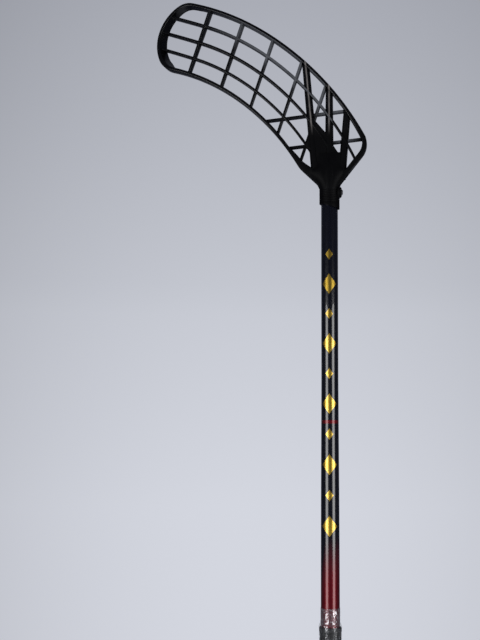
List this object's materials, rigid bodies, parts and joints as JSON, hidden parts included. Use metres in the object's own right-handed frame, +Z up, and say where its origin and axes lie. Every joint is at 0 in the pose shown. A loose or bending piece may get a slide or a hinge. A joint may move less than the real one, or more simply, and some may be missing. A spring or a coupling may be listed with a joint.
{
  "type": "floorball stick",
  "caption": "Floorball stick with a hollow tapered shaft, a wound grip, an end cap and a curved latticed blade that is held by a screw.",
  "frame": {"origin": "middle of the butt end's outer face, on the shaft's axis", "axes": "+Z up the shaft to the blade; the toe points to -X; the blade's convex face looks to -Y and its toe bends away to +Y"},
  "size_m": [0.2705, 0.0415, 1.1035],
  "materials": {
    "shaft_lacquer": "glossy black lacquer over fibre composite, red towards the grip",
    "cap_plastic": "matte black moulded plastic",
    "grip_rubber": "matte dark grey foamed strip, wound",
    "collar_rubber": "black elastic band",
    "clear_film": "clear crinkled shop film",
    "blade_plastic": "semi-gloss black moulded plastic",
    "screw_steel": "blackened steel"
  },
  "bodies": {
    "stick": {"shaft": "shaft_lacquer", "end_cap": "cap_plastic", "grip_wrap": "grip_rubber", "grip_collar": "collar_rubber", "grip_film": "clear_film", "blade": "blade_plastic"},
    "blade_screw": {"blade_screw": "screw_steel"}
  },
  "joints": [
    {"name": "blade_screw_turn", "type": "hinge", "parent": "stick", "child": "blade_screw", "pos_m": [0.015, 0, 0.8475], "axis": [1, 0, 0], "range_deg": [0, 315]}
  ]
}
